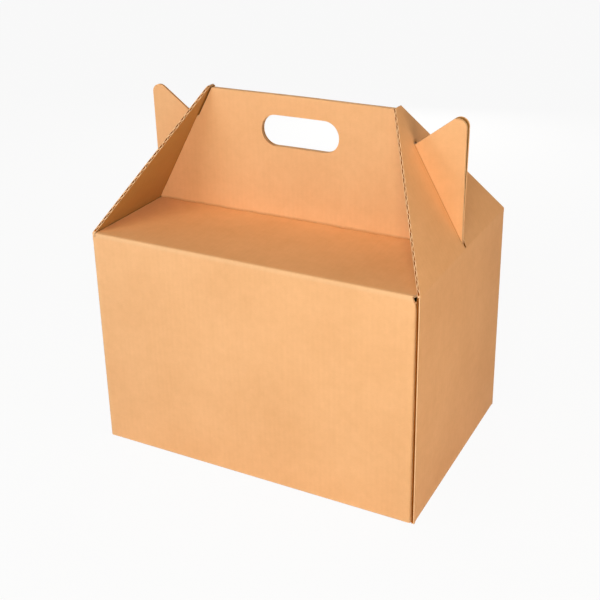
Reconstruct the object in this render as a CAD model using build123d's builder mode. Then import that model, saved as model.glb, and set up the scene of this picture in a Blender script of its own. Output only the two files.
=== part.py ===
from build123d import *
import math
import os

os.makedirs("parts", exist_ok=True)

# A gable-top carry box, die-cut and folded from one sheet of single-wall corrugated kraft board.
# Millimetres, +Z up, origin under the middle of the base. X runs along the box, the front is at -Y.
# The blank is a tube of four walls with a glue tab at the front right corner. The front and back walls carry
# a bottom flap below, and above them a level shelf and an upright handle panel. The end walls carry a bottom
# flap below and a leaning gable flap above. The ears of the handle panels stand out through the gable slits.

# Board
board = 3.0
fold_inside = 0.4
liner = 0.45
flute_pitch = 6.2
flute_wall = 1.1
flute_tip = 0.4
flute_depth = 6.0

# Walls and bottom flaps
box_length = 400.0
box_depth = 274.0
shoulder_height = 271.0
tab_width = 35.0
tab_bevel = 10.0
glue_line = 0.3
end_clearance = 1.5
bottom_seam = 2.0
bottom_flap_clearance = 1.5
bottom_climb = 8.0

# Handle panels and ears
handle_rise = 147.0
panel_gap = 1.0
hole_width = 98.0
hole_height = 37.0
hole_drop = 42.0
ear_angle = 37.5
ear_radius = 9.5
side_gap = 1.8
notch_clearance = 1.0

# Gable flaps and slits
gable_rise = 149.0
gable_inset = 82.0
gable_top_width = 14.0
gable_setback = 1.0
slit_rise = 112.5
slit_foot = 1.0
slit_clearance = 0.6

# Open corner at the top of the glued joint
corner_cut_width = 3.5
corner_cut_height = 7.0
corner_cut_depth = 5.0

# How far each cut runs past the face it starts from
overrun = 1.0

# Folds and the middle planes of the boards
fold_outside = fold_inside + board
fold_middle = fold_inside + board / 2
half_length = box_length / 2
half_depth = box_depth / 2
end_middle = half_length - board / 2
side_middle = half_depth - board / 2
shelf_middle = shoulder_height - board / 2
panel_middle = panel_gap / 2 + board / 2
sheet_half = half_length - board - end_clearance
tab_middle = end_middle - board - glue_line
tab_foot = 2 * board + fold_outside
tab_head = shoulder_height - fold_outside - board
bottom_flap_length = half_depth - bottom_seam / 2
bottom_flap_half = half_depth - board - bottom_flap_clearance
shelf_fold = shoulder_height - fold_outside

# The end bottom flaps climb from their folds onto the front and back ones, which stop short of the climb
climb_start = end_middle - fold_outside
climb_end = climb_start - bottom_climb
side_flap_half = climb_end - bottom_flap_clearance

# Lean of the gable flaps
gable_slant = math.hypot(gable_rise, gable_inset)
lean_sine = gable_inset / gable_slant
lean_cosine = gable_rise / gable_slant
lean_slope = gable_inset / gable_rise
gable_base_half = half_depth - gable_setback
gable_top_half = gable_top_width / 2
slit_width = 2 * board + panel_gap + 2 * slit_clearance
slit_top = slit_rise / lean_cosine

# Handle panel outline, right half, heights above the floor
panel_foot = shoulder_height + fold_inside
panel_top = shoulder_height + handle_rise
notch_rise = slit_rise - board * lean_sine - notch_clearance
notch_height = shoulder_height + notch_rise
flap_inner_foot = half_length - board / lean_cosine
panel_top_half = flap_inner_foot - handle_rise * lean_slope - side_gap
notch_inner = flap_inner_foot - notch_rise * lean_slope - side_gap
notch_outer = half_length - notch_rise * lean_slope + notch_clearance
ear_slope = math.tan(math.radians(ear_angle))
ear_corner_height = notch_height + (sheet_half - notch_outer) * ear_slope
hole_height_above_floor = panel_top - hole_drop

# Section of the open flutes at a raw edge, across the board from its first liner
flute_half = (flute_pitch - flute_wall) / 2
flute_near = [(-flute_half, liner), (flute_half, liner), (0, board - liner - flute_tip)]
flute_far = [(-flute_half, board - liner), (0, liner + flute_tip), (flute_half, board - liner)]


def flute_places(half_width):
    """Middles of the near flutes and of the far ones, half a pitch along, that fit a board this wide."""
    last = int((half_width - flute_pitch) / flute_pitch)
    near = [(n * flute_pitch, 0) for n in range(-last, last + 1)]
    far = [(n * flute_pitch + flute_pitch / 2, 0) for n in range(-last - 1, last + 1)]
    return near, far


def flap_plane(side):
    """The outer face of a gable flap: origin on its fold, local Y up the slope, local Z outwards."""
    return Plane(
        origin=(side * half_length, 0, shoulder_height),
        x_dir=(0, side, 0),
        z_dir=(side * lean_cosine, 0, lean_sine),
    )


# Outline of a gable flap on its plane
with BuildSketch() as gable_outline:
    with BuildLine():
        Polyline(
            (-gable_base_half, 0),
            (gable_base_half, 0),
            (gable_top_half, gable_slant),
            (-gable_top_half, gable_slant),
            close=True,
        )
    make_face()

# Outline of a handle panel with its two ears and the hand hole, in X and height
with BuildSketch() as panel_outline:
    with BuildLine():
        Polyline(
            (0, panel_foot),
            (sheet_half, panel_foot),
            (sheet_half, ear_corner_height),
            (notch_outer, notch_height),
            (notch_inner, notch_height),
            (panel_top_half, panel_top),
            (0, panel_top),
            close=True,
        )
    make_face()
    fillet(vertices().group_by(Axis.X)[-1].sort_by(Axis.Y)[-1], radius=ear_radius)
    mirror(about=Plane.YZ)
    with Locations((0, hole_height_above_floor)):
        SlotOverall(hole_width, hole_height, mode=Mode.SUBTRACT)

# Open flutes along the raw edges of the right gable flap
with BuildPart() as gable_flutes:
    near_places, far_places = flute_places(gable_base_half)
    with BuildSketch(Plane((half_length, 0, shoulder_height), (0, 1, 0), (-lean_sine, 0, lean_cosine))):
        with Locations(*near_places):
            Polygon(*flute_near, align=None)
        with Locations(*far_places):
            Polygon(*flute_far, align=None)
    extrude(amount=gable_slant + overrun)
    with BuildSketch(flap_plane(1)):
        with Locations((0, overrun)):
            add(gable_outline.sketch)
        with Locations((0, -flute_depth)):
            add(gable_outline.sketch, mode=Mode.SUBTRACT)
    extrude(amount=-board, mode=Mode.INTERSECT)

# Open flutes along the upper edges of the front handle panel
with BuildPart() as panel_flutes:
    near_places, far_places = flute_places(sheet_half)
    with BuildSketch(Plane((0, -panel_gap / 2 - board, panel_foot))):
        with Locations(*near_places):
            Polygon(*flute_near, align=None)
        with Locations(*far_places):
            Polygon(*flute_far, align=None)
    extrude(amount=ear_corner_height - panel_foot)
    with BuildSketch(Plane.XZ.offset(panel_gap / 2)):
        with Locations((0, overrun)):
            add(panel_outline.sketch)
        with Locations((0, -flute_depth)):
            add(panel_outline.sketch, mode=Mode.SUBTRACT)
    extrude(amount=board, mode=Mode.INTERSECT)

# The same flutes on both flaps and both panels
open_flutes = [
    gable_flutes.part,
    mirror(gable_flutes.part, about=Plane.YZ),
    panel_flutes.part,
    mirror(panel_flutes.part, about=Plane.XZ),
]

with BuildPart() as gable_box:
    # Tube of four walls, from the fold of the glue tab round to the raw edge of the right end
    with BuildSketch():
        with BuildLine():
            FilletPolyline(
                (tab_middle, -half_depth + fold_outside + fold_inside),
                (tab_middle, -side_middle),
                (-end_middle, -side_middle),
                (-end_middle, side_middle),
                (end_middle, side_middle),
                (end_middle, -half_depth),
                radius=fold_middle,
            )
        trace(line_width=board)
    extrude(amount=shoulder_height)

    # Glue tab, with its glue line, on the inside of the right end wall
    with BuildSketch(Plane.YZ.offset(tab_middle - board / 2)):
        with BuildLine():
            Polyline(
                (-half_depth + fold_outside, tab_foot),
                (-half_depth + tab_width, tab_foot + tab_bevel),
                (-half_depth + tab_width, tab_head - tab_bevel),
                (-half_depth + fold_outside, tab_head),
                close=True,
            )
        make_face()
    extrude(amount=board + glue_line)

    # Front and back walls stop where the shelf folds begin
    with BuildSketch(Plane.XY.offset(shelf_fold)):
        Rectangle(box_length - 2 * board, box_depth + 2 * overrun)
    extrude(amount=fold_outside + overrun, mode=Mode.SUBTRACT)

    # All four walls stop where the bottom folds begin, and stand on the floor only at the corners
    with BuildSketch(Plane.XY.offset(fold_outside)):
        Rectangle(2 * side_flap_half, box_depth + 2 * overrun)
        Rectangle(box_length + 2 * overrun, 2 * bottom_flap_half)
    extrude(amount=-(fold_outside + overrun), mode=Mode.SUBTRACT)

    for side in (-1, 1):
        # Gable flap, a trapezoid in line with the end wall
        with BuildSketch(flap_plane(side)):
            add(gable_outline.sketch)
        extrude(amount=-board)

        # Slit from just above the fold
        with BuildSketch(flap_plane(side).offset(overrun)):
            with Locations((0, (slit_foot + slit_top) / 2)):
                Rectangle(slit_width, slit_top - slit_foot)
        extrude(amount=-(board + 2 * overrun), mode=Mode.SUBTRACT)

        # End bottom flap, folded in from the end wall
        with BuildSketch(Plane.XZ.offset(-bottom_flap_half)):
            with BuildLine():
                FilletPolyline(
                    (side * (half_length - bottom_flap_length), board + board / 2),
                    (side * climb_end, board + board / 2),
                    (side * climb_start, board / 2),
                    (side * end_middle, board / 2),
                    (side * end_middle, 2 * fold_outside),
                    radius=fold_middle,
                )
            trace(line_width=board)
        extrude(amount=2 * bottom_flap_half)

    for side in (-1, 1):
        # Bottom flap, folded in from the wall
        with BuildSketch(Plane.YZ.offset(-side_flap_half)):
            with BuildLine():
                FilletPolyline(
                    (side * bottom_seam / 2, board / 2),
                    (side * side_middle, board / 2),
                    (side * side_middle, 2 * fold_outside),
                    radius=fold_middle,
                )
            trace(line_width=board)
        extrude(amount=2 * side_flap_half)

        # Top of the wall, shelf and the foot of the handle panel
        with BuildSketch(Plane.YZ.offset(-sheet_half)):
            with BuildLine():
                FilletPolyline(
                    (side * side_middle, shelf_fold - fold_outside),
                    (side * side_middle, shelf_middle),
                    (side * panel_middle, shelf_middle),
                    (side * panel_middle, panel_foot + fold_outside),
                    radius=fold_middle,
                )
            trace(line_width=board)
        extrude(amount=2 * sheet_half)

        # Handle panel with its two ears and the hand hole
        with BuildSketch(Plane.XZ.offset(-side * panel_middle - board / 2)):
            add(panel_outline.sketch)
        extrude(amount=board)

    # Small open corner where the shelf, the front wall and the glued end meet
    with BuildSketch(Plane.XZ.offset(half_depth - corner_cut_depth)):
        with BuildLine():
            Polyline(
                (sheet_half - corner_cut_width, shoulder_height + overrun),
                (sheet_half, shoulder_height + overrun),
                (sheet_half, shelf_fold),
                (half_length - board, shelf_fold),
                (half_length - board, shoulder_height - corner_cut_height),
                close=True,
            )
        make_face()
    extrude(amount=corner_cut_depth + overrun, mode=Mode.SUBTRACT)

    # The flutes show as openings along the raw edges of both gable flaps and both handle panels
    add(open_flutes, mode=Mode.SUBTRACT)

gable_box.part.label = "gable_box"
export_step(gable_box.part, "parts/gable_box.step")
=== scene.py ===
import math

import bmesh
import bpy
import numpy as np
from mathutils import Matrix, Vector, kdtree
from mathutils.geometry import delaunay_2d_cdt


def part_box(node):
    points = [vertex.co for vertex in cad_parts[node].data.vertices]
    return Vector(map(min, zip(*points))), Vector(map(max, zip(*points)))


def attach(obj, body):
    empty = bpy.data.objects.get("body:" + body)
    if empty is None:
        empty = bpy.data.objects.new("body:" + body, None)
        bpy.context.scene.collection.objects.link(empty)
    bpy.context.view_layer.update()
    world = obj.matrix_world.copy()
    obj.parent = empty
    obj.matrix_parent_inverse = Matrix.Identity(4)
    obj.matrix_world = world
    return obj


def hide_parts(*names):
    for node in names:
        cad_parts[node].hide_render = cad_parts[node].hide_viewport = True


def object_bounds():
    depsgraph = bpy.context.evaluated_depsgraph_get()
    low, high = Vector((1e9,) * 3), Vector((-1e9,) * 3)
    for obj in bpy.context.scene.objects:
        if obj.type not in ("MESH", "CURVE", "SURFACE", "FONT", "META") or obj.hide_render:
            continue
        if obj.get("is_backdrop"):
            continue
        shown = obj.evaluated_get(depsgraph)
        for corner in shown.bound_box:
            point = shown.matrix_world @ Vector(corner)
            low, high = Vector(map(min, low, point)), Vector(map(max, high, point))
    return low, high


# A gable-top carry box, die-cut and folded from one sheet of single-wall corrugated kraft board.
# The sheet is meshed as a flat blank and every point of it is then folded into place.
# Lengths are in millimetres, in the frame of the solid, and become metres where Blender takes them.
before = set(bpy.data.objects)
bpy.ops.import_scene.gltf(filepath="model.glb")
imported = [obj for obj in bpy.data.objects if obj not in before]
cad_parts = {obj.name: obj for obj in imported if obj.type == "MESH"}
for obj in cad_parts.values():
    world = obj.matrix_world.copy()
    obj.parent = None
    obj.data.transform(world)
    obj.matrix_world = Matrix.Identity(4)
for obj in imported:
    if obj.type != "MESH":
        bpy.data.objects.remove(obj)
cad_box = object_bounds()
MM = 0.001
cad_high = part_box("gable_box")[1]

# Board
board = 3.0
fold_inside = 0.4
liner = 0.4
flute_pitch = 6.2
medium = 0.5
medium_recess = 0.1
edge_depth = 4.0
closed_edge_depth = 0.3

# Walls and bottom flaps
half_length = cad_high.x / MM
half_depth = cad_high.y / MM
shoulder_height = 271.0
tab_width = 35.0
tab_bevel = 10.0
glue_line = 0.6
end_clearance = 1.5
bottom_seam = 2.0
bottom_flap_clearance = 1.5
bottom_climb = 8.0
slot_overcut = 1.0
slot_nick = 0.3
corner_lift = 1.7

# Handle panels and ears
handle_rise = 147.0
panel_gap = 1.0
hole_width = 98.0
hole_height = 37.0
hole_drop = 42.0
ear_angle = 37.5
ear_radius = 9.5
side_gap = 1.8
notch_clearance = 0.3
notch_radius = 1.5

# Gable flaps and slits
gable_rise = 149.0
gable_inset = 82.0
gable_top_width = 14.0
gable_top_radius = 1.5
lean_radius = 3.0
slit_rise = 112.5
slit_foot = 1.0
slit_clearance = 0.3
slit_radius = 1.0
slit_foot_width = 3.0
slit_taper = 7.0

# Open corner at the top of the glued joint
corner_cut_width = 3.2
corner_cut_height = 7.0
corner_cut_depth = 7.0

# How far the board has bowed and curled
wall_bow = 1.3
end_bow = 0.9
shelf_sag = 0.9
shelf_end_share = 0.4
handle_curve = 1.5
left_ear_curl = 2.2
right_ear_curl = 0.88
ear_spread = 5.5
ear_drop = 2.6
ear_drop_share = 1 / 3
back_panel_slip = 0.5
back_panel_drop = 0.4
fold_crispness = 0.43

# Unevenness of the creases under the handle panels
crease_wave = 0.6
crease_reach = 3.5
crease_longest = 70.0
crease_shortest = 9.0
crease_seed = 3

# Raw edge of the right end at the glued joint, with a share of painted shade on its outer lip
joint_opening = 0.2
joint_opening_reach = 10.2
joint_crush = 0.9
joint_shade = 0.2

# Cut edges, by the sine of their angle to the flutes: fully open from the first, with medium from the second
open_sine = 0.3
fluted_sine = 0.15
steepest_cut = 2.2
handle_open_rise = 37.5

# Corners of cut edges: turns above this sine are mitred, and the others no further than the limit
mitre_sine = 0.2
mitre_limit = 0.3

# Tones of folds and gaps on the liners: above 0 is paler, partly crushed paper and partly a painted
# highlight; below 0 is painted shade. On the inner faces the tones of the folds are turned round
shelf_fold_tone = 1.0
bottom_fold_tone = 0.7
corner_fold_tone = 0.6
handle_crease_painted_shade = -0.65
tab_fold_painted_shade = -1.6
slit_painted_shade = -0.9
hidden_painted_shade = -1.0
darkest_tone = -1.6
palest_tone = 1.0
tone_fade = 1.3
slit_tone_fade = 1.8

# Papers
middle_tone = 0.55
speck_size = 0.05
speck_depth = 0.25
# How far fold tones pale the paper, partly a painted highlight, and darken it with painted shade
fold_paleness = 0.2
gap_painted_shade = 0.6
liner_relief = 0.12
liner_roughness = 0.72
grain_roughness = 0.25
liner_gloss = 0.42
edge_relief = 0.2
edge_roughness = 0.9
edge_gloss = 0.05
# Insets over which painted shade fills the flutes of raw edges
shade_start = 0.06
shade_end = 0.2

# Mesh, with angles in degrees
mesh_step = 8.0
grid_clearance = 0.6 * mesh_step
merge_distance = 0.0001
round_step = 12.0
bend_steps = 5
guards = (0.6, 2.5)
slit_lines = (0.7, 1.5, 2.4)
release_run = 9.0
flute_samples = 14
sheet_sharp_angle = 38.0
medium_sharp_angle = 50.0
blank_span = 1400.0
blank_margin = (0.01, 0.15)

# Panels in order round the walls after the glue tab, and faces of the sheet by paper
front_panel, left_panel, back_panel, right_panel = range(1, 5)
outer_face, inner_face, raw_edge = range(3)

# Middle lines of the folded boards
fold_middle = fold_inside + board / 2
fold_outside = fold_inside + board
quarter_turn = math.pi / 2
quarter_arc = fold_middle * quarter_turn
end_middle = half_length - board / 2
side_middle = half_depth - board / 2
tab_middle = end_middle - board - glue_line
panel_middle = panel_gap / 2 + board / 2
sheet_half = half_length - board - end_clearance
bottom_flap_half = half_depth - board - bottom_flap_clearance
climb_start = end_middle - fold_outside
climb_end = climb_start - bottom_climb
side_flap_half = climb_end - bottom_flap_clearance
shelf_fold = shoulder_height - fold_outside
panel_foot = shoulder_height + fold_inside
panel_top = shoulder_height + handle_rise

# Lean of the gable flaps, and the bend that gives it
lean = math.atan2(gable_inset, gable_rise)
lean_slope = gable_inset / gable_rise
gable_slant = math.hypot(gable_rise, gable_inset)
lean_arc = lean_radius * lean
lean_tangent = lean_radius * math.tan(lean / 2)
lean_corner = board / 2 * math.tan(lean / 2)
lean_start = shoulder_height - lean_corner - lean_tangent
flap_zero = lean_start + lean_arc - lean_corner - lean_tangent

# Notch in which a handle panel straddles a gable flap above its slit
notch_rise = slit_rise - board * math.sin(lean) - notch_clearance
notch_height = shoulder_height + notch_rise
notch_outer = half_length - notch_rise * lean_slope + notch_clearance


class FoldedPath:
    """A line of straight runs and round bends in a plane, followed by the length along it."""

    def __init__(self, first, start, heading, runs):
        """Starts at a length and a point. Each run is its length and the angle that it turns through."""
        lengths, points, headings, bends = [first], [np.array(start, float)], [heading], []
        for length, turn in runs:
            bends.append(turn / length)
            way = np.array(self.chord(length, headings[-1], bends[-1]))
            points.append(points[-1] + way)
            lengths.append(lengths[-1] + length)
            headings.append(headings[-1] + turn)
        self.lengths = np.array(lengths)
        self.points = np.array(points)
        self.headings = np.array(headings)
        self.bends = np.array(bends)

    @staticmethod
    def chord(along, heading, bend):
        """The way from the start of a run to a point along it."""
        turned = heading + bend * along
        straight = np.abs(bend) < 1e-9
        divisor = np.where(straight, 1.0, bend)
        x = np.where(straight, along * np.cos(heading), (np.sin(turned) - np.sin(heading)) / divisor)
        y = np.where(straight, along * np.sin(heading), (np.cos(heading) - np.cos(turned)) / divisor)
        return x, y

    def at(self, lengths):
        """Points and headings at an array of lengths. The first and last runs go on past their ends."""
        run = np.clip(np.searchsorted(self.lengths, lengths, side="right") - 1, 0, len(self.bends) - 1)
        along = lengths - self.lengths[run]
        x, y = self.chord(along, self.headings[run], self.bends[run])
        points = self.points[run] + np.stack((x, y), axis=-1)
        return points, self.headings[run] + self.bends[run] * along

    def straight_at(self, run, lengths):
        """Points and headings on the straight line that one run lies on."""
        along = lengths - self.lengths[run]
        heading = self.headings[run]
        way = np.stack((np.cos(heading), np.sin(heading)), axis=-1)
        return self.points[run] + along[:, None] * way, heading


# Plan of the four walls, from the free edge of the glue tab round to the raw edge of the right end
front_run = tab_middle + end_middle - 2 * fold_middle
end_run = 2 * (side_middle - fold_middle)
back_run = 2 * (end_middle - fold_middle)
wall_path = FoldedPath(
    0,
    (tab_middle, tab_width - half_depth),
    -quarter_turn,
    [
        (tab_width - board / 2 - fold_middle, 0),
        (quarter_arc, -quarter_turn),
        (front_run, 0),
        (quarter_arc, -quarter_turn),
        (end_run, 0),
        (quarter_arc, -quarter_turn),
        (back_run, 0),
        (quarter_arc, -quarter_turn),
        (side_middle - fold_middle + half_depth, 0),
    ],
)
tab_fold, front_start, front_end, left_start, left_end = wall_path.lengths[1:6]
back_start, back_end, right_start, right_edge = wall_path.lengths[6:]
corner_bends = (
    (tab_fold, front_start),
    (front_end, left_start),
    (left_end, back_start),
    (back_end, right_start),
)
front_middle = front_start + tab_middle - fold_middle
left_middle = (left_start + left_end) / 2
back_middle = (back_start + back_end) / 2
right_middle = right_start + end_run / 2

# Side view of the front and back: bottom flap, wall, level shelf, upright handle panel
bottom_run = side_middle - bottom_seam / 2 - fold_middle
shelf_run = side_middle - panel_middle - 2 * fold_middle
side_path = FoldedPath(
    fold_outside - quarter_arc - bottom_run,
    (side_middle - bottom_seam / 2, board / 2),
    math.pi,
    [
        (bottom_run, 0),
        (quarter_arc, -quarter_turn),
        (shelf_fold - fold_outside, 0),
        (quarter_arc, -quarter_turn),
        (shelf_run, 0),
        (quarter_arc, quarter_turn),
        (panel_top - panel_foot, 0),
    ],
)
side_flap_edge, side_flap_fold, side_wall_foot, side_wall_top, shelf_start, shelf_end, panel_start = (
    side_path.lengths[:7]
)

# Side view of the ends: bottom flap, climbing onto the others from its fold, wall, leaning gable flap
climb = math.atan2(board, bottom_climb)
climb_arc = fold_middle * climb
climb_tangent = fold_middle * math.tan(climb / 2)
end_flap_runs = [
    (climb_end - half_length + bottom_run + fold_outside - climb_tangent, 0),
    (climb_arc, climb),
    (math.hypot(board, bottom_climb) - 2 * climb_tangent, 0),
    (climb_arc, -climb),
    (fold_outside - fold_middle - climb_tangent, 0),
    (quarter_arc, -quarter_turn),
]
end_path = FoldedPath(
    fold_outside - sum(length for length, turn in end_flap_runs),
    (end_middle - half_length + bottom_run + fold_outside, board + board / 2),
    math.pi,
    end_flap_runs + [
        (lean_start - fold_outside, 0),
        (lean_arc, -lean),
        (flap_zero + gable_slant - lean_start - lean_arc, 0),
    ],
)
end_flap_edge, climb_top, climb_top_end, climb_foot, climb_foot_end, end_flap_fold, end_wall_foot = (
    end_path.lengths[:7]
)
lean_bend_start, lean_bend_end, gable_top = end_path.lengths[7:]

# Ends of the slots between neighbouring panels
slot_low = fold_outside + slot_nick
slot_high = shelf_fold - slot_overcut

# Half of the width of a slit
slit_half = (2 * board + panel_gap) / 2 + slit_clearance

# Half of a gable flap's width at its foot, up to the last line but one of the corner bend
gable_foot = side_middle - fold_middle + quarter_arc * (bend_steps - 1) / bend_steps

# Stretches round the corners, between the nicks beside the bottom flaps
corner_spans = [
    (0, front_middle - side_flap_half - slot_nick / 2),
    (front_middle + side_flap_half + slot_nick / 2, left_middle - bottom_flap_half - slot_nick / 2),
    (left_middle + bottom_flap_half + slot_nick / 2, back_middle - side_flap_half - slot_nick / 2),
    (back_middle + side_flap_half + slot_nick / 2, right_middle - bottom_flap_half - slot_nick / 2),
    (right_middle + bottom_flap_half + slot_nick / 2, right_edge + slot_nick),
]

# Lengths round the walls at which one panel gives way to the next
panel_splits = np.array([
    tab_fold,
    (front_middle + sheet_half + left_middle - gable_foot) / 2,
    (left_middle + gable_foot + back_middle - sheet_half) / 2,
    (back_middle + sheet_half + right_middle - gable_foot) / 2,
])


def panel_of(u):
    """Which panel each point of the blank is on, by its place round the walls."""
    return np.searchsorted(panel_splits, u, side="right")


def on_end(panel):
    """Which panels are those of the left and right ends."""
    return (panel == left_panel) | (panel == right_panel)


def smooth(t):
    """An even rise from 0 to 1 as t goes from 0 to 1."""
    t = np.clip(t, 0, 1)
    return t * t * (3 - 2 * t)


def hump(t):
    """A round hump over t from 0 to 1, and nothing outside."""
    return np.sin(np.pi * np.clip(t, 0, 1))


def ripple(s, seed, longest, shortest, count=7):
    """A smooth uneven wave of about unit height along s, the same for the same seed."""
    random = np.random.default_rng(seed)
    total = np.zeros_like(s)
    for length in np.geomspace(longest, shortest, count):
        total += np.sin(2 * np.pi * s / length + random.uniform(0, 2 * np.pi))
    return total / math.sqrt(count)


def fold(u, v, w):
    """Folded places of points of the flat blank: u round the walls, v up them, w out of the board."""
    panel = panel_of(u)
    is_end = on_end(panel)

    # Plan: the round corner bends open out flat towards the slots above them. Every second run is straight
    bent, bent_heading = wall_path.at(u)
    flat, flat_heading = wall_path.straight_at(2 * panel, u)
    release = smooth(1 - (slot_high - v) / release_run)
    plan = bent + release[:, None] * (flat - bent)
    heading = bent_heading + release * (flat_heading - bent_heading)
    out = np.stack((-np.sin(heading), np.cos(heading)), axis=-1)

    # Creasing has crushed the board, so its outer face turns more sharply than a round bend
    crisp = np.where(is_end, 0, hump((v - side_wall_top) / quarter_arc) ** 2)
    for first, last in corner_bends[1:]:
        crisp += (1 - release) * hump((u - first) / (last - first)) ** 2
    w = np.where(w > 0, w * (1 + fold_crispness * crisp), w)

    # Side view: how far in and how high the board runs
    # Only the corners of the walls run straight to the floor
    in_corner = np.zeros(len(u), bool)
    for first, last in corner_spans:
        in_corner |= (u > first) & (u < last)
    below = np.where(in_corner, np.minimum(v - fold_outside, 0), 0)
    side_point, side_heading = side_path.at(v - below)
    end_point, end_heading = end_path.at(v - below)
    profile = np.where(is_end[:, None], end_point, side_point)
    tilt = np.where(is_end, end_heading, side_heading)
    inward = profile[:, 0] - w * np.sin(tilt)
    height = profile[:, 1] + w * np.cos(tilt) + below
    places = np.column_stack((plan - out * inward[:, None], height))
    return settle(places, panel, u, v, out)


def settle(places, panel, u, v, out):
    """The small bows, sags and curls that the board has taken."""
    is_front = panel == front_panel
    is_back = panel == back_panel
    is_right = panel == right_panel
    is_side = is_front | is_back
    across = np.where(is_front, (u - front_start) / (front_end - front_start), 0)
    across = np.where(is_back, (u - back_start) / (back_end - back_start), across)
    across = np.where(panel == left_panel, (u - left_start) / (left_end - left_start), across)
    across = np.where(is_right, (u - right_start) / end_run, across)
    up = (v - slot_low) / (slot_high - slot_low)
    depth = np.where(is_side, wall_bow, end_bow)
    bow = depth * hump(across) * hump(up)
    places[:, :2] += out * bow[:, None]

    # Shelves hang a little between their folds
    along_shelf = (v - shelf_start) / shelf_run
    share = shelf_end_share + (1 - shelf_end_share) * hump(across)
    places[:, 2] -= np.where(is_side, shelf_sag * hump(along_shelf) * share, 0)

    # The crease under each handle panel is uneven
    near_crease = np.exp(-(((v - (shelf_end + panel_start) / 2) / crease_reach) ** 2))
    wave = crease_wave * ripple(u, crease_seed, crease_longest, crease_shortest) * near_crease
    places[:, 2] += np.where(is_side, wave, 0)

    # The two handle panels bow to the back together between the gables, and the ears curl as pairs
    height = np.clip((v - panel_start) / (panel_top - panel_foot), 0, 1)
    x = places[:, 0]
    bow_together = handle_curve * hump((x + sheet_half / 2) / sheet_half) ** 2 * smooth(along_shelf)
    ear_reach = slit_rise * lean_slope
    beyond = np.clip((np.abs(x) - (half_length - ear_reach)) / ear_reach, 0, 1)
    curl = np.where(x < 0, -left_ear_curl, right_ear_curl) * (beyond * height) ** 2
    places[:, 1] += np.where(is_side, bow_together + curl, 0)

    # The right back ear spreads away from the front one, and the left back ear has dropped
    slit_place = half_length - (places[:, 2] - shoulder_height) * lean_slope
    out_of_slit = np.clip((np.abs(x) - slit_place) / ear_reach, 0, 1)
    on_back_panel = is_back & (v > panel_start)
    places[:, 1] += np.where(on_back_panel & (x > 0), ear_spread * out_of_slit, 0)
    places[:, 2] -= np.where(on_back_panel & (x < 0), ear_drop * smooth(out_of_slit / ear_drop_share), 0)

    # The raw edge of the right end stands off from the glue tab
    to_edge = np.where(is_right, right_edge - u, half_depth)
    opening = joint_opening * smooth(1 - to_edge / joint_opening_reach) * smooth((slot_high - v) / tab_bevel)
    places[:, :2] += out * opening[:, None]

    # The back panel has slipped a little to the left and down against the front one
    rise = smooth((v - panel_start) / hole_height)
    places[:, 0] -= np.where(is_back, back_panel_slip * rise, 0)
    places[:, 2] -= np.where(is_back, back_panel_drop * rise, 0)
    return places


def rounded(corners):
    """A closed outline from corners of u, v and radius, with the corners rounded and the sides divided."""
    points = []
    count = len(corners)
    for i, (u, v, radius) in enumerate(corners):
        corner = np.array((u, v))
        before = np.array(corners[i - 1][:2])
        after = np.array(corners[(i + 1) % count][:2])
        if radius == 0:
            points.append(corner)
            continue
        back = (before - corner) / np.linalg.norm(before - corner)
        on = (after - corner) / np.linalg.norm(after - corner)
        half_angle = math.acos(np.clip(back @ on, -1, 1)) / 2
        middle = corner + (back + on) / np.linalg.norm(back + on) * radius / math.sin(half_angle)
        first = corner + back * radius / math.tan(half_angle)
        last = corner + on * radius / math.tan(half_angle)
        turn = math.pi - 2 * half_angle
        steps = max(3, math.ceil(turn / math.radians(round_step)))
        for k in range(steps + 1):
            share = k / steps
            mix = (math.sin((1 - share) * turn) * (first - middle) + math.sin(share * turn) * (last - middle))
            points.append(middle + mix / math.sin(turn))
    divided = []
    for a, b in zip(points, points[1:] + points[:1]):
        pieces = max(1, math.ceil(np.linalg.norm(b - a) / mesh_step))
        divided += [a + (b - a) * k / pieces for k in range(pieces)]
    return np.array(divided)


def flap_v(up_slope):
    """Place up the blank of a distance up the outer face of a gable flap."""
    return flap_zero + up_slope


def panel_v(height):
    """Place up the blank of a height on a handle panel."""
    return panel_start + height - panel_foot


def handle_corners():
    """Right half of a handle panel above its shelf, from the ear in to the top edge, in x and v."""
    inner_foot = half_length - board / math.cos(lean)
    notch_inner = inner_foot - notch_rise * lean_slope - side_gap
    top_half = inner_foot - handle_rise * lean_slope - side_gap
    ear_height = notch_height + (sheet_half - notch_outer) * math.tan(math.radians(ear_angle))
    return [
        (sheet_half, panel_v(ear_height), ear_radius),
        (notch_outer, panel_v(notch_height), 0),
        (notch_inner, panel_v(notch_height), notch_radius),
        (top_half, panel_v(panel_top), 0),
    ]


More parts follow.
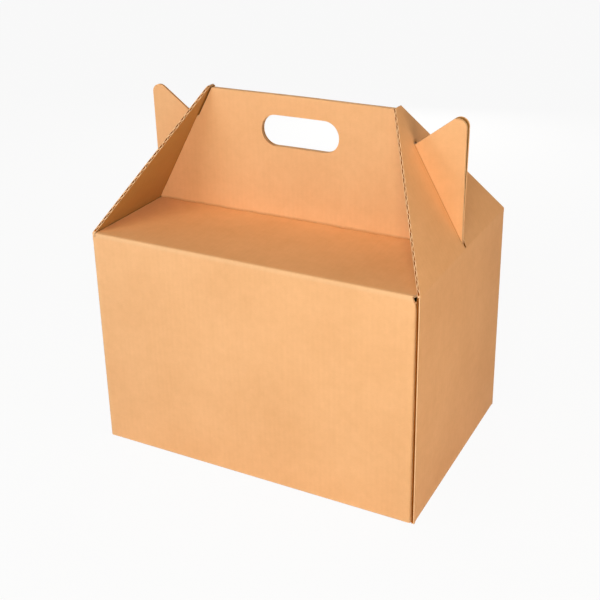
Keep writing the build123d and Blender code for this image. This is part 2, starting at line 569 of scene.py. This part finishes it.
def blank_outline():
    """Corners of the whole blank, along its lower edge from the tab and back along its upper edge."""
    right_half = handle_corners()
    handle = [(-x, v, r) for x, v, r in right_half] + right_half[::-1]
    tab_foot = 2 * board + fold_outside
    lower = [(0, tab_foot + tab_bevel, 0), (tab_fold, tab_foot, 0), (tab_fold, corner_lift, fold_inside)]
    for middle, half, edge in (
        (front_middle, side_flap_half, side_flap_edge),
        (left_middle, bottom_flap_half, end_flap_edge),
        (back_middle, side_flap_half, side_flap_edge),
        (right_middle, bottom_flap_half, end_flap_edge),
    ):
        lower += [
            (middle - half - slot_nick, corner_lift, 0),
            (middle - half - slot_nick, slot_low, 0),
            (middle - half, slot_low, 0),
            (middle - half, edge, 2 * fold_middle),
            (middle + half, edge, 2 * fold_middle),
            (middle + half, slot_low, 0),
            (middle + half + slot_nick, slot_low, 0),
            (middle + half + slot_nick, corner_lift, 0),
        ]
    lower.append((right_edge, corner_lift, 1.5 * fold_inside))

    gable_half_top = gable_top_width / 2
    gable = [
        (gable_foot, flap_v(0), 0),
        (gable_half_top, gable_top, gable_top_radius),
        (-gable_half_top, gable_top, gable_top_radius),
        (-gable_foot, flap_v(0), 0),
    ]
    upper = [(right_edge, flap_v(0) - fold_inside, 0)]
    upper += [(right_middle + s, v, r) for s, v, r in gable]
    upper.append((right_middle - gable_foot, slot_high, 0))
    upper.append((back_middle + sheet_half, slot_high, 0))
    upper += [(back_middle + s, v, r) for s, v, r in handle[::-1]]
    upper.append((back_middle - sheet_half, slot_high, 0))
    upper.append((left_middle + gable_foot, slot_high, 0))
    upper += [(left_middle + s, v, r) for s, v, r in gable]
    upper.append((left_middle - gable_foot, slot_high, 0))
    upper.append((front_middle + sheet_half, slot_high, 0))
    upper += [(front_middle + s, v, r) for s, v, r in handle[::-1]]

    # The shelf corner is cut away beside the glued joint, down to the head of the tab
    cut_left = front_middle - sheet_half + corner_cut_width
    tab_head = shoulder_height - corner_cut_height
    upper += [
        (front_middle - sheet_half, shelf_start + corner_cut_depth, 0),
        (cut_left, side_wall_top + quarter_arc / 2, 0),
        (tab_fold + fold_middle, tab_head, 0),
        (tab_fold, tab_head, 0),
        (0, tab_head - tab_bevel, 0),
    ]
    return rounded(lower + upper)


def blank_holes():
    """The hand holes of the two handle panels and the slits of the two gable flaps."""
    loops = []
    hole_middle = panel_v(panel_top - hole_drop)
    for middle in (front_middle, back_middle):
        low, high = hole_middle - hole_height / 2, hole_middle + hole_height / 2
        left, right = middle - hole_width / 2, middle + hole_width / 2
        radius = hole_height / 2 - medium
        corners = ((left, low), (right, low), (right, high), (left, high))
        loops.append(rounded([(u, v, radius) for u, v in corners]))
    low, high = flap_v(slit_foot), flap_v(slit_rise / math.cos(lean))
    for middle in (left_middle, right_middle):
        foot_left, foot_right = middle - slit_foot_width / 2, middle + slit_foot_width / 2
        left, right = middle - slit_half, middle + slit_half
        loops.append(rounded([
            (foot_left, low, 0),
            (foot_right, low, 0),
            (right, low + slit_taper, 0),
            (right, high, slit_radius),
            (left, high, slit_radius),
            (left, low + slit_taper, 0),
        ]))
    return loops


def bend_lines(first, last):
    """Places of the mesh lines through a bend, with guard lines on both sides of it."""
    through = list(np.linspace(first, last, bend_steps + 1))
    return [first - guard for guard in guards[::-1]] + through + [last + guard for guard in guards]


def fold_lines():
    """Mesh lines of the blank along every fold, each as a row of points."""
    lines = []
    shelf_bends = bend_lines(side_wall_top, shelf_start) + bend_lines(shelf_end, panel_start)
    lean_bend = bend_lines(lean_bend_start, lean_bend_end)
    side_bottom = bend_lines(side_flap_fold, side_wall_foot)
    end_bottom = [climb_top, climb_top_end, climb_foot, climb_foot_end]
    end_bottom += list(np.linspace(end_flap_fold, end_wall_foot, bend_steps + 1))
    for middle, half, rows in (
        (front_middle, sheet_half, shelf_bends),
        (back_middle, sheet_half, shelf_bends),
        (left_middle, gable_foot, lean_bend),
        (right_middle, gable_foot, lean_bend),
        (front_middle, side_flap_half, side_bottom),
        (back_middle, side_flap_half, side_bottom),
        (left_middle, bottom_flap_half, end_bottom),
        (right_middle, bottom_flap_half, end_bottom),
    ):
        count = int((half - mesh_step / 2) / mesh_step)
        inner = [k * mesh_step for k in range(-count, count + 1)]
        reach = half + slot_nick / 2
        for v in rows:
            lines.append([(middle + s, v) for s in [-reach] + inner + [reach]])
    heights = [corner_lift, fold_outside]
    heights += list(np.arange(slot_low + mesh_step / 2, slot_high, mesh_step))
    for first, last in corner_bends:
        for u in bend_lines(first, last):
            lines.append([(u, v) for v in heights])
    slopes = np.arange(lean_bend_end + board, gable_top - board, mesh_step)
    for middle in (left_middle, right_middle):
        for off in slit_lines:
            lines.append([(middle - slit_half - off, v) for v in slopes])
            lines.append([(middle + slit_half + off, v) for v in slopes])
    return lines


def inside(points, loop):
    """Which points lie inside a closed loop."""
    result = np.zeros(len(points), bool)
    x, y = points[:, 0], points[:, 1]
    for (x0, y0), (x1, y1) in zip(loop, np.roll(loop, -1, axis=0)):
        if y0 == y1:
            continue
        crosses = (y0 > y) != (y1 > y)
        result ^= crosses & (x < x0 + (y - y0) * (x1 - x0) / (y1 - y0))
    return result


def flat_blank():
    """Points and triangles of the flat blank, with lines of points along its outline and folds."""
    outer = blank_outline()
    holes = blank_holes()
    points, edges = [], []
    for loop in [outer] + holes:
        first = len(points)
        points += [tuple(p) for p in loop]
        edges += [(first + k, first + (k + 1) % len(loop)) for k in range(len(loop))]
    for line in fold_lines():
        first = len(points)
        points += line
        edges += [(first + k, first + k + 1) for k in range(len(line) - 1)]

    # A plain grid fills the panels, clear of the lines
    near = kdtree.KDTree(len(points))
    for k, (u, v) in enumerate(points):
        near.insert((u, v, 0), k)
    near.balance()
    low, high = outer.min(axis=0), outer.max(axis=0)
    grid_u, grid_v = np.meshgrid(np.arange(low[0], high[0], mesh_step), np.arange(low[1], high[1], mesh_step))
    grid = np.column_stack((grid_u.ravel(), grid_v.ravel()))
    keep = inside(grid, outer)
    for hole in holes:
        keep &= ~inside(grid, hole)
    points += [(u, v) for u, v in grid[keep] if near.find((u, v, 0))[2] > grid_clearance]

    made = delaunay_2d_cdt([Vector(p) for p in points], edges, [], 0, merge_distance)
    flat = np.array([tuple(p) for p in made[0]])
    triangles = np.array(made[2])
    centres = flat[triangles].mean(axis=1)
    keep = inside(centres, outer)
    for hole in holes:
        keep &= ~inside(centres, hole)
    triangles = triangles[keep]
    used, places = np.unique(triangles, return_inverse=True)
    flat, triangles = flat[used], places.reshape(triangles.shape)
    a, b, c = (flat[triangles[:, k]] for k in range(3))
    turned = (b - a)[:, 0] * (c - a)[:, 1] - (b - a)[:, 1] * (c - a)[:, 0] < 0
    triangles[turned] = triangles[turned][:, ::-1]
    return flat, triangles


def edge_loops(triangles):
    """The closed edges of the blank, each as point numbers with the board on the left."""
    pairs = {(int(t[k]), int(t[(k + 1) % 3])) for t in triangles for k in range(3)}
    following = {a: b for a, b in pairs if (b, a) not in pairs}
    loops = []
    while following:
        start = next(iter(following))
        loop = [start]
        on = following.pop(start)
        while on != start:
            loop.append(on)
            on = following.pop(on)
        loops.append(np.array(loop))
    return loops


def is_open(points):
    """Which points of the edges lie where the flutes stay open: elsewhere the cut has crushed them shut."""
    u, v = points[:, 0], points[:, 1]
    panel = panel_of(u)
    is_side = (panel == front_panel) | (panel == back_panel)
    across = np.abs(u - np.where(panel == front_panel, front_middle, back_middle))
    on_handle = is_side & (v > panel_v(panel_foot + handle_open_rise)) & (across < notch_outer)
    on_gable = on_end(panel) & (v > flap_v(board))
    return on_handle | on_gable | (v < -fold_outside)


def is_hole(points):
    """Whether a closed edge is that of a hand hole or a slit."""
    return np.ptp(points[:, 0]) < 2 * hole_width


def on_joint(points):
    """Which points lie on the raw edge of the right end, at the glued joint."""
    return points[:, 0] > right_edge - fold_inside


def set_in(points):
    """The points of a closed edge moved into the board: far across open flutes, and little elsewhere."""
    on = np.roll(points, -1, axis=0) - points
    middles = points + on / 2
    on /= np.linalg.norm(on, axis=1)[:, None]
    back = np.roll(on, 1, axis=0)
    open_share = smooth(np.abs(on[:, 0]) / open_sine) * is_open(middles)

    # The edges of the holes, of the glued joint and of the left front ear are split open all along
    left_ear = (middles[:, 0] > front_middle + notch_outer) & (middles[:, 0] < front_middle + sheet_half)
    left_ear &= middles[:, 1] > panel_start
    split = is_hole(points) | on_joint(middles) | left_ear
    deep = closed_edge_depth + (edge_depth - closed_edge_depth) * np.where(split, 1.0, open_share)
    deep_back = np.roll(deep, 1)
    left = np.column_stack((-on[:, 1], on[:, 0]))
    left_back = np.roll(left, 1, axis=0)
    turn = back[:, 0] * on[:, 1] - back[:, 1] * on[:, 0]
    mean = (left + left_back) / 2
    mean *= ((deep + deep_back) / 2 / np.maximum((mean**2).sum(axis=1), mitre_limit))[:, None]
    mitred = np.abs(turn) > mitre_sine
    divisor = np.where(mitred, turn, 1)
    corner = (deep_back[:, None] * on - deep[:, None] * back) / divisor[:, None]
    moved = points + np.where(mitred[:, None], corner, mean)
    return moved, (deep + deep_back) / 2 / edge_depth


def paint_fold_tones_and_shade(flat, w):
    """Tone of each point of the faces: above 0 paler on outward folds, partly crushed paper and partly a
    painted highlight; below 0 painted shade in inward folds and gaps.
    """
    u, v = flat[:, 0], flat[:, 1]
    is_end = on_end(panel_of(u))
    amount = np.zeros(len(flat))

    def add(distance, chosen, tone, fade=tone_fade):
        """Adds a tone that fades over a distance."""
        nonlocal amount
        amount += np.where(chosen, tone * np.exp(-((np.maximum(distance, 0) / fade) ** 2)), 0)

    def off(value, first, last):
        """How far a value lies outside a stretch, and below 0 inside it."""
        return np.maximum(first - value, value - last)

    add(off(v, side_wall_top, shelf_start), ~is_end, shelf_fold_tone)
    add(off(v, side_flap_fold, side_wall_foot), ~is_end, bottom_fold_tone)
    # Painted shade in the crease under each handle panel
    add(off(v, shelf_end, panel_start), ~is_end, handle_crease_painted_shade)
    add(off(v, end_flap_fold, end_wall_foot), is_end, bottom_fold_tone)
    wall = (v > 0) & (v < slot_high + slot_overcut)
    for first, last in corner_bends[1:]:
        add(off(u, first, last), wall, corner_fold_tone)

    # The fold of the glue tab gets painted shade where it faces the raw edge of the right end
    tab_dark = off(u, tab_fold - 2 * fold_outside, tab_fold + quarter_arc / bend_steps)
    add(tab_dark, wall, tab_fold_painted_shade, fold_inside)
    amount *= np.sign(w)

    # Painted shade also darkens the flaps beside and above their slits, and the faces that the handle panels
    # turn to each other
    is_gable = is_end & (v > flap_v(slit_foot + slit_taper))
    above_slit = v > flap_v(slit_rise / math.cos(lean)) + fold_inside
    beside = np.minimum(np.abs(u - left_middle), np.abs(u - right_middle)) - slit_half
    add(beside, is_gable & ~above_slit, slit_painted_shade, slit_tone_fade)
    amount[is_gable & above_slit & (w < 0) & (beside < board / 2)] = hidden_painted_shade
    amount[~is_end & (v > panel_start) & (w < 0)] = hidden_painted_shade
    return np.clip(amount, darkest_tone, palest_tone)


def new_piece(name, places, faces, materials):
    """A mesh object from places in millimetres."""
    mesh = bpy.data.meshes.new(name)
    mesh.from_pydata((places * MM).tolist(), [], faces)
    for material in materials:
        mesh.materials.append(material)
    piece = bpy.data.objects.new(name, mesh)
    bpy.context.scene.collection.objects.link(piece)
    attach(piece, "root")
    return piece


def lay_blank_map(mesh, flat):
    """Keeps each point's place on the flat blank as a UV map, for patterns that follow the sheet."""
    corners = np.zeros(len(mesh.loops), int)
    mesh.loops.foreach_get("vertex_index", corners)
    share = flat[corners] / blank_span + np.array(blank_margin)
    layer = mesh.uv_layers.new(name="blank")
    layer.data.foreach_set("uv", share.astype(np.float32).ravel())


def mark_inset(mesh, inset_shade):
    """Keeps how far each point lies inside a raw edge, from 0 at the cut to 1 at the full depth."""
    layer = mesh.attributes.new("inset_shade", "FLOAT", "POINT")
    layer.data.foreach_set("value", inset_shade.astype(np.float32))


def build_sheet(flat, triangles, loops, materials):
    """The folded sheet: outer face, inner face and the raw edge between its two liners."""
    count = len(flat)
    half = board / 2
    lip = half - liner
    blocks = [(flat, half), (flat, -half)]
    inset_shade = [np.zeros(2 * count)]
    faces = [tuple(t) for t in triangles[:, ::-1].tolist()]
    faces += [tuple(t) for t in (triangles + count).tolist()]
    kinds = [outer_face] * len(triangles) + [inner_face] * len(triangles)
    total = 2 * count
    for loop in loops:
        edge = flat[loop]
        size = len(loop)
        recess, depth = set_in(edge)
        at_joint = on_joint(edge)
        outer_lip = np.where(at_joint, lip - joint_crush, lip)
        # Painted shade on the joint's raw edge: a share at its outer lip, all of it at its inner lip
        inset_shade += [np.where(at_joint, joint_shade, 0.0), depth, depth, np.where(at_joint, 1.0, 0.0)]
        rings = [loop]
        for points, w in ((edge, outer_lip), (recess, outer_lip), (recess, -lip), (edge, -lip)):
            blocks.append((points, w))
            rings.append(np.arange(total, total + size))
            total += size
        rings.append(loop + count)
        for upper, lower in zip(rings, rings[1:]):
            quads = np.column_stack((upper, np.roll(upper, -1), np.roll(lower, -1), lower))
            faces += [tuple(q) for q in quads.tolist()]
            kinds += [raw_edge] * size
    sheet = np.vstack([points for points, w in blocks])
    w = np.concatenate([np.full(len(points), w) for points, w in blocks])
    places = fold(sheet[:, 0], sheet[:, 1], w)
    piece = new_piece("folded_sheet", places, faces, materials)
    mesh = piece.data
    mesh.polygons.foreach_set("material_index", kinds)
    lay_blank_map(mesh, sheet)
    # Fold paleness with a painted highlight, and painted shade in creases and gaps, for the liners' colour
    fold_paleness_and_painted_shade = mesh.attributes.new("fold_paleness_and_painted_shade", "FLOAT", "POINT")
    fold_paleness_and_painted_shade.data.foreach_set("value", paint_fold_tones_and_shade(sheet, w).astype(np.float32))
    mark_inset(mesh, np.concatenate(inset_shade))
    mesh.polygons.foreach_set("use_smooth", [True] * len(mesh.polygons))
    mesh.set_sharp_from_angle(angle=math.radians(sheet_sharp_angle))
    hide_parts("gable_box")
    return piece


def flute_runs(points):
    """Stretches of a closed edge across open flutes, each with the sign of the way into the board."""
    steps = np.roll(points, -1, axis=0) - points
    share = steps[:, 0] / np.linalg.norm(steps, axis=1)
    way = np.where((np.abs(share) > fluted_sine) & is_open(points + steps / 2), np.sign(share), 0)
    start = int(np.argmax(way != np.roll(way, 1)))
    order = np.roll(np.arange(len(points)), -start)
    runs, current = [], []
    for k in order:
        if current and way[k] != way[current[-1]]:
            runs.append(current)
            current = []
        current.append(k)
    runs.append(current)
    for run in runs:
        if way[run[0]] == 0:
            continue
        chain = points[run + [(run[-1] + 1) % len(points)]]
        if np.ptp(chain[:, 0]) >= flute_pitch / 2:
            yield chain, way[run[0]]


def build_fluting(flat, loops, material):
    """The wavy medium that shows between the liners along edges cut across the flutes."""
    sample = flute_pitch / flute_samples
    reach = board / 2 - liner - medium / 2
    sheet, depth, inset_shade, faces = [], [], [], []
    total = 0
    for loop in loops:
        if is_hole(flat[loop]):
            continue
        for chain, way in flute_runs(flat[loop]):
            chain = chain[np.argsort(chain[:, 0])]
            u = np.arange(chain[0, 0] + medium, chain[-1, 0] - medium, sample)
            v = np.interp(u, chain[:, 0], chain[:, 1])
            slope = np.gradient(v, u)
            inner = np.minimum(np.hypot(1, slope), steepest_cut) * edge_depth
            w = reach * np.sin(2 * np.pi * u / flute_pitch)
            outer_v = v + way * medium_recess * np.hypot(1, slope)
            inner_v = v + way * inner
            upper, lower = w + medium / 2, w - medium / 2
            rows = ((outer_v, upper), (inner_v, upper), (inner_v, lower), (outer_v, lower))
            size = len(u)
            for row_v, row_w in rows:
                sheet.append(np.column_stack((u, row_v)))
                depth.append(row_w)
                # The inner rows get the painted shade of the flutes
                inset_shade.append(np.full(size, float(row_v is inner_v)))
            for k in range(4):
                a, b = total + k * size, total + (k + 1) % 4 * size
                faces += [(a + i, a + i + 1, b + i + 1, b + i) for i in range(size - 1)]
            ends = [total + k * size for k in range(4)]
            faces.append(tuple(ends))
            faces.append(tuple(e + size - 1 for e in ends[::-1]))
            total += 4 * size
    sheet = np.vstack(sheet)
    places = fold(sheet[:, 0], sheet[:, 1], np.concatenate(depth))
    piece = new_piece("fluted_medium", places, faces, [material])
    lay_blank_map(piece.data, sheet)
    mark_inset(piece.data, np.concatenate(inset_shade))
    work = bmesh.new()
    work.from_mesh(piece.data)
    bmesh.ops.recalc_face_normals(work, faces=work.faces)
    work.to_mesh(piece.data)
    work.free()
    piece.data.polygons.foreach_set("use_smooth", [True] * len(piece.data.polygons))
    piece.data.set_sharp_from_angle(angle=math.radians(medium_sharp_angle))
    return piece


class Nodes:
    """A short way to write a node material."""

    def __init__(self, name):
        self.material = bpy.data.materials.new(name)
        self.material.use_nodes = True
        self.tree = self.material.node_tree
        self.shader = self.tree.nodes["Principled BSDF"]
        self.output = self.tree.nodes["Material Output"]

    def add(self, kind, inputs=(), **settings):
        """A node with its settings. An input is a value or another node's output."""
        node = self.tree.nodes.new("ShaderNode" + kind)
        for key, value in settings.items():
            setattr(node, key, value)
        for key, value in dict(inputs).items():
            if isinstance(value, bpy.types.NodeSocket):
                self.tree.links.new(value, node.inputs[key])
            else:
                node.inputs[key].default_value = value
        return node

    def math(self, operation, a, b=0.0):
        """The result of a sum."""
        return self.add("Math", {0: a, 1: b}, operation=operation).outputs[0]

    def mix(self, share, first, second):
        """A colour between two others."""
        inputs = {0: share, 6: first, 7: second}
        return self.add("Mix", inputs, data_type="RGBA", clamp_factor=True).outputs[2]

    def ramp(self, value, first, last, start, end):
        """A value that goes evenly from start to end as another goes from first to last."""
        return self.add("MapRange", {0: value, 1: first, 2: last, 3: start, 4: end}).outputs[0]

    def noise(self, vector, scale, detail=3.0, roughness=0.55):
        """Smooth noise about zero."""
        inputs = {"Vector": vector, "Scale": scale, "Detail": detail, "Roughness": roughness}
        return self.math("SUBTRACT", self.add("TexNoise", inputs).outputs["Fac"], 0.5)

    def stretched(self, vector, along, across):
        """A vector scaled apart in u and v."""
        return self.add("VectorMath", {0: vector, 1: (along, across, 1.0)}, operation="MULTIPLY").outputs[0]

    def total(self, terms):
        """The sum of outputs, each times its weight."""
        result = None
        for output, weight in terms:
            part = self.math("MULTIPLY", output, weight)
            result = part if result is None else self.math("ADD", result, part)
        return result

    def link(self, output, socket):
        """Joins an output to one of the shader's sockets."""
        self.tree.links.new(output, self.shader.inputs[socket])


def kraft_liner(name, dark, light, pale, painted_shade_colour):
    """Kraft liner: mottled and fibrous, with specks and a faint washboard; folds paler, partly crushed paper
    and partly a painted highlight, and painted shade in creases and gaps.
    """
    nodes = Nodes(name)
    uv = nodes.add("UVMap", uv_map="blank").outputs[0]
    place = nodes.stretched(uv, blank_span, blank_span)
    along = nodes.add("SeparateXYZ", {0: place}).outputs[0]

    cloud = nodes.noise(place, scale=0.012, detail=2.0)
    mottle = nodes.noise(place, scale=0.09, detail=4.0, roughness=0.65)
    grain = nodes.noise(nodes.stretched(place, 0.5, 1.6), scale=0.9, detail=3.0, roughness=0.7)
    fibre = nodes.noise(nodes.stretched(place, 0.12, 1.0), scale=1.7, detail=2.0, roughness=0.6)
    streak = nodes.noise(nodes.stretched(place, 1.0, 0.03), scale=0.32, detail=2.0)
    wave = nodes.math("SINE", nodes.math("MULTIPLY", along, 2 * math.pi / flute_pitch))
    patchy = nodes.math("ADD", nodes.noise(place, scale=0.02, detail=1.0), 0.55)
    washboard = nodes.math("MULTIPLY", wave, patchy)

    spread = nodes.stretched(place, 0.6, 1.3)
    cells = nodes.add("TexVoronoi", {"Vector": spread, "Scale": 0.16, "Randomness": 1.0})
    speck = nodes.ramp(cells.outputs["Distance"], speck_size, 0.0, 0.0, 1.0)

    tone = nodes.total([
        (cloud, 0.8),
        (mottle, 0.65),
        (grain, 0.45),
        (fibre, 0.35),
        (streak, 0.12),
        (washboard, 0.04),
    ])
    tone = nodes.math("ADD", tone, middle_tone)
    tone = nodes.math("SUBTRACT", tone, nodes.math("MULTIPLY", speck, speck_depth))
    paper = nodes.mix(tone, dark, light)

    # Folds paler with a painted highlight, and painted shade in creases and gaps
    fold_paleness_and_painted_shade = nodes.add("Attribute", attribute_name="fold_paleness_and_painted_shade").outputs["Fac"]
    ragged = nodes.math("ADD", nodes.noise(place, scale=0.5, detail=3.0), 0.9)
    fold_paleness_with_highlight = nodes.math("MULTIPLY", nodes.math("MAXIMUM", fold_paleness_and_painted_shade, 0.0), ragged)
    painted_shade_share = nodes.math("MULTIPLY", nodes.math("MINIMUM", fold_paleness_and_painted_shade, 0.0), ragged)
    paper = nodes.mix(nodes.math("MULTIPLY", fold_paleness_with_highlight, fold_paleness), paper, pale)
    paper = nodes.mix(nodes.math("MULTIPLY", painted_shade_share, -gap_painted_shade), paper, painted_shade_colour)
    nodes.link(paper, "Base Color")

    relief = nodes.total([(washboard, 0.5), (mottle, 0.5), (grain, 0.35), (fibre, 0.3)])
    bump = nodes.add("Bump", {"Strength": 0.45, "Distance": liner_relief * MM, "Height": relief})
    nodes.link(bump.outputs[0], "Normal")
    roughness = nodes.math("ADD", nodes.math("MULTIPLY", grain, grain_roughness), liner_roughness)
    nodes.link(roughness, "Roughness")
    # No gloss where shade is painted
    nodes.link(nodes.ramp(fold_paleness_and_painted_shade, -1.0, 0.0, 0.0, liner_gloss), "Specular IOR Level")
    return nodes.material


def raw_board(name, dark, light, shade):
    """Cut paper: pale, rough and fibrous at the cut, with painted shade inside the flutes."""
    nodes = Nodes(name)
    uv = nodes.add("UVMap", uv_map="blank").outputs[0]
    place = nodes.stretched(uv, blank_span, blank_span)
    fibre = nodes.noise(place, scale=0.6, detail=4.0, roughness=0.7)
    cloud = nodes.noise(place, scale=0.08, detail=2.0)
    tone = nodes.total([(fibre, 1.4), (cloud, 0.8)])
    paper = nodes.mix(nodes.math("ADD", tone, 0.5), dark, light)
    inset_shade = nodes.add("Attribute", attribute_name="inset_shade").outputs["Fac"]
    painted_flute_shade_share = nodes.ramp(inset_shade, shade_start, shade_end, 0.0, 1.0)
    nodes.link(nodes.mix(painted_flute_shade_share, paper, shade), "Base Color")
    bump = nodes.add("Bump", {"Strength": 0.5, "Distance": edge_relief * MM, "Height": tone})
    nodes.link(bump.outputs[0], "Normal")
    nodes.shader.inputs["Roughness"].default_value = edge_roughness
    nodes.shader.inputs["Specular IOR Level"].default_value = edge_gloss
    return nodes.material


def build_box():
    """The folded sheet and its open flutes, with their papers."""
    outer = kraft_liner(
        "kraft_outer",
        dark=(0.74, 0.355, 0.140, 1),
        light=(0.90, 0.470, 0.212, 1),
        pale=(0.90, 0.62, 0.36, 1),
        painted_shade_colour=(0.30, 0.095, 0.012, 1),
    )
    # The inner liner is darker than the outer one: partly a darker paper, partly painted shade
    inner = kraft_liner(
        "kraft_inner_with_painted_shade",
        dark=(0.41, 0.198, 0.046, 1),
        light=(0.50, 0.255, 0.068, 1),
        pale=(0.84, 0.56, 0.31, 1),
        painted_shade_colour=(0.30, 0.11, 0.025, 1),
    )
    # Painted shade inside the flutes and in the gaps of raw edges
    flute_shade = (0.50, 0.14, 0.012, 1)
    edge = raw_board(
        "kraft_raw_edge",
        dark=(0.89, 0.49, 0.235, 1),
        light=(0.97, 0.65, 0.38, 1),
        shade=flute_shade,
    )
    waves = raw_board(
        "kraft_medium",
        dark=(0.91, 0.51, 0.245, 1),
        light=(0.98, 0.68, 0.40, 1),
        shade=flute_shade,
    )
    flat, triangles = flat_blank()
    loops = edge_loops(triangles)
    build_sheet(flat, triangles, loops, [outer, inner, edge])
    build_fluting(flat, loops, waves)


def add_lamp(name, place, target, size, power, colour):
    """A soft rectangular lamp at a place, turned to a target, in millimetres and watts."""
    lamp = bpy.data.lights.new(name, "AREA")
    lamp.shape = "RECTANGLE"
    lamp.size = size[0] * MM
    lamp.size_y = size[1] * MM
    lamp.energy = power
    lamp.color = colour
    holder = bpy.data.objects.new(name, lamp)
    holder.location = Vector(place) * MM
    way = Vector(target) - Vector(place)
    holder.rotation_euler = way.to_track_quat("-Z", "Y").to_euler()
    bpy.context.scene.collection.objects.link(holder)


def seen_directly(tree):
    """A socket that is 1 for what the camera sees, also in a mirror or glass, and 0 for the light."""
    path = tree.nodes.new("ShaderNodeLightPath")
    result = path.outputs["Is Camera Ray"]
    for name in ("Is Glossy Ray", "Is Transmission Ray"):
        most = tree.nodes.new("ShaderNodeMath")
        most.operation = "MAXIMUM"
        tree.links.new(result, most.inputs[0])
        tree.links.new(path.outputs[name], most.inputs[1])
        result = most.outputs[0]
    return result


def build_floor():
    """A pale floor that shows nearly white and still takes the soft shadow of the box."""
    size = 30000.0
    drop = 0.2
    shadow_strength = 0.04
    shown_strength = 0.938
    corners = [(-size, -size, -drop), (size, -size, -drop), (size, size, -drop), (-size, size, -drop)]
    mesh = bpy.data.meshes.new("floor")
    mesh.from_pydata([Vector(c) * MM for c in corners], [], [(0, 1, 2, 3)])
    floor = bpy.data.objects.new("floor", mesh)
    bpy.context.scene.collection.objects.link(floor)
    nodes = Nodes("pale_floor")
    nodes.shader.inputs["Base Color"].default_value = (0.86, 0.86, 0.86, 1)
    nodes.shader.inputs["Roughness"].default_value = 0.9
    nodes.shader.inputs["Specular IOR Level"].default_value = 0.0
    shadow = nodes.add("BsdfDiffuse", {"Color": (shadow_strength, shadow_strength, shadow_strength, 1)})
    glow = nodes.add("Emission", {"Color": (1, 1, 1, 1), "Strength": shown_strength})
    shown = nodes.add("AddShader", {0: shadow.outputs[0], 1: glow.outputs[0]})
    seen = seen_directly(nodes.tree)
    choice = nodes.add("MixShader", {0: seen, 1: nodes.shader.outputs[0], 2: shown.outputs[0]})
    nodes.tree.links.new(choice.outputs[0], nodes.output.inputs["Surface"])
    mesh.materials.append(nodes.material)
    floor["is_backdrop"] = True


def build_world(fill, shown):
    """A weak even fill from all round, which the camera sees as a pale backdrop."""
    world = bpy.data.worlds.new("studio")
    bpy.context.scene.world = world
    world.use_nodes = True
    tree = world.node_tree
    background = tree.nodes["Background"]
    background.inputs["Color"].default_value = (1.0, 0.95, 0.88, 1)
    background.inputs["Strength"].default_value = fill
    backdrop = tree.nodes.new("ShaderNodeBackground")
    backdrop.inputs["Color"].default_value = (1, 1, 1, 1)
    backdrop.inputs["Strength"].default_value = shown
    choice = tree.nodes.new("ShaderNodeMixShader")
    tree.links.new(seen_directly(tree), choice.inputs[0])
    tree.links.new(background.outputs[0], choice.inputs[1])
    tree.links.new(backdrop.outputs[0], choice.inputs[2])
    tree.links.new(choice.outputs[0], tree.nodes["World Output"].inputs["Surface"])


def build_camera():
    """The photograph's view, from the front right and above."""
    eye = Vector((530.1, -1010.1, 721.1))
    pitch, yaw, roll = (math.radians(angle) for angle in (21.98, 27.84, -1.02))
    forward = Vector((-math.sin(yaw) * math.cos(pitch), math.cos(yaw) * math.cos(pitch), -math.sin(pitch)))
    level = forward.cross(Vector((0, 0, 1))).normalized()
    above = level.cross(forward)
    tilt = math.asin(math.sin(roll) / above.z)
    right = level * math.cos(tilt) + above * math.sin(tilt)
    up = right.cross(forward)
    camera = bpy.data.cameras.new("camera")
    camera.sensor_width = 36.0
    camera.lens = 63.08
    camera.shift_y = -0.12
    holder = bpy.data.objects.new("camera", camera)
    holder.matrix_world = Matrix.Translation(eye * MM) @ Matrix((right, up, -forward)).transposed().to_4x4()
    bpy.context.scene.collection.objects.link(holder)
    bpy.context.scene.camera = holder


build_box()
build_floor()
build_world(fill=0.05, shown=0.956)
add_lamp("key", (520, -1330, 800), (60, -60, 240), size=(700, 600), power=13.0, colour=(0.93, 1.0, 0.97))
add_lamp("left", (-850, -1150, 500), (0, -60, 240), size=(700, 600), power=7.2, colour=(0.75, 0.86, 1.0))
add_lamp("top", (-50, -350, 1500), (40, -60, 270), size=(700, 600), power=4.6, colour=(1.0, 0.81, 0.52))
add_lamp("side", (1080, -250, 330), (200, 0, 200), size=(500, 400), power=3.0, colour=(1.0, 0.84, 0.63))
add_lamp("back", (-450, 1350, 420), (-60, 100, 200), size=(500, 500), power=7.5, colour=(1.0, 0.96, 0.9))
build_camera()
bpy.context.scene.view_settings.view_transform = "Standard"

boxes = {"cad": cad_box, "visual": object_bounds()}
{name: [list(corner) for corner in box] for name, box in boxes.items()}
